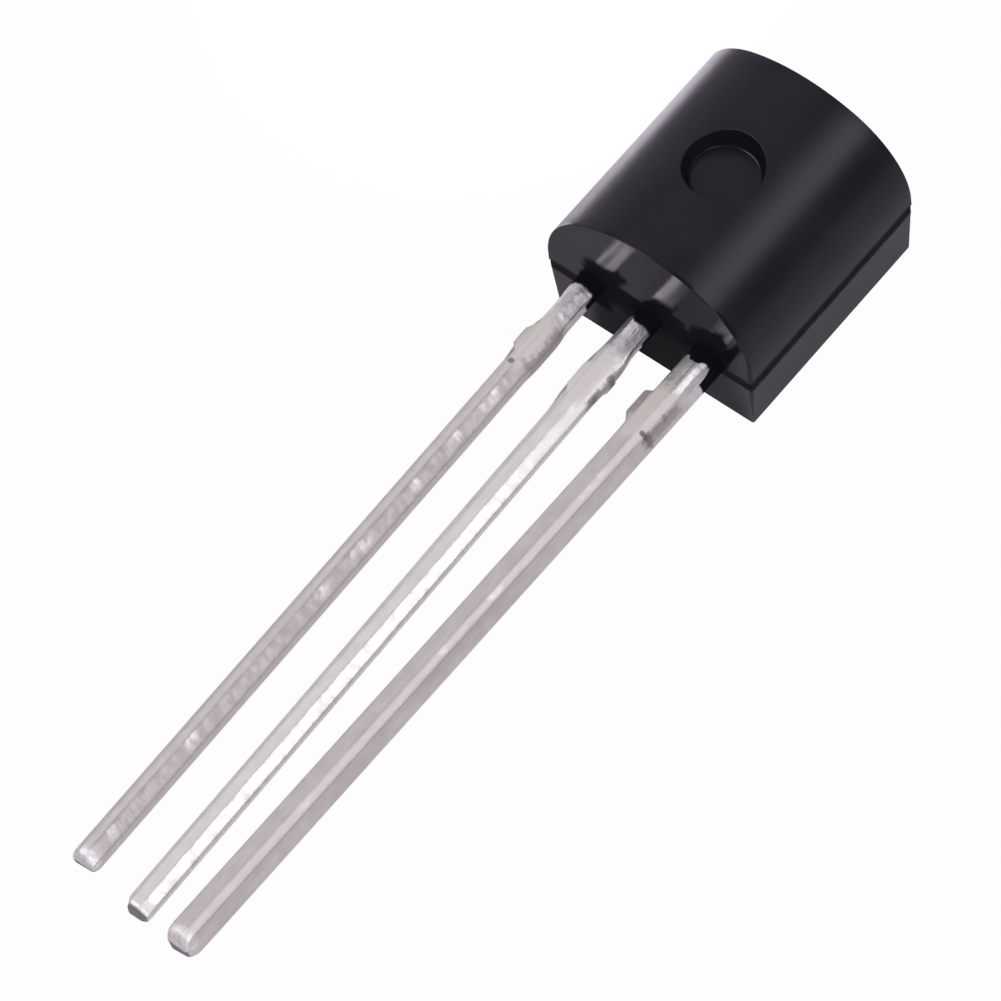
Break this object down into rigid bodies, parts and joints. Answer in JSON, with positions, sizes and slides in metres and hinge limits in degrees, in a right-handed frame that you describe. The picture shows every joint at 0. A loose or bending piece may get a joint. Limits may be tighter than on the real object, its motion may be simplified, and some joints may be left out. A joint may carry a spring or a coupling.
{
  "type": "to-92 transistor",
  "caption": "Small black plastic transistor, flat on one side and rounded on the other, with straight tinned leads in a row.",
  "frame": {"origin": "centre of the flat face", "axes": "+X across the case from the emitter lead to the base lead, +Y along the leads towards the top of the case, +Z from the flat face to the round crown"},
  "size_m": [0.0044, 0.0187, 0.0035],
  "materials": {
    "moulding_compound": "black epoxy moulding compound, fine satin grain, rougher at the parting line",
    "tinned_lead": "dull bright tin on a stamped strip, with small dark specks and bare trimmed edges",
    "silicon": "polished silicon",
    "attach_layer": "silver-filled epoxy",
    "bond_wire": "drawn gold wire"
  },
  "bodies": {
    "root": {"moulded_body": "moulding_compound", "emitter_lead": "tinned_lead", "collector_lead": "tinned_lead", "base_lead": "tinned_lead", "silicon_die": "silicon", "die_attach": "attach_layer", "emitter_bond_wire": "bond_wire", "base_bond_wire": "bond_wire"}
  },
  "joints": []
}
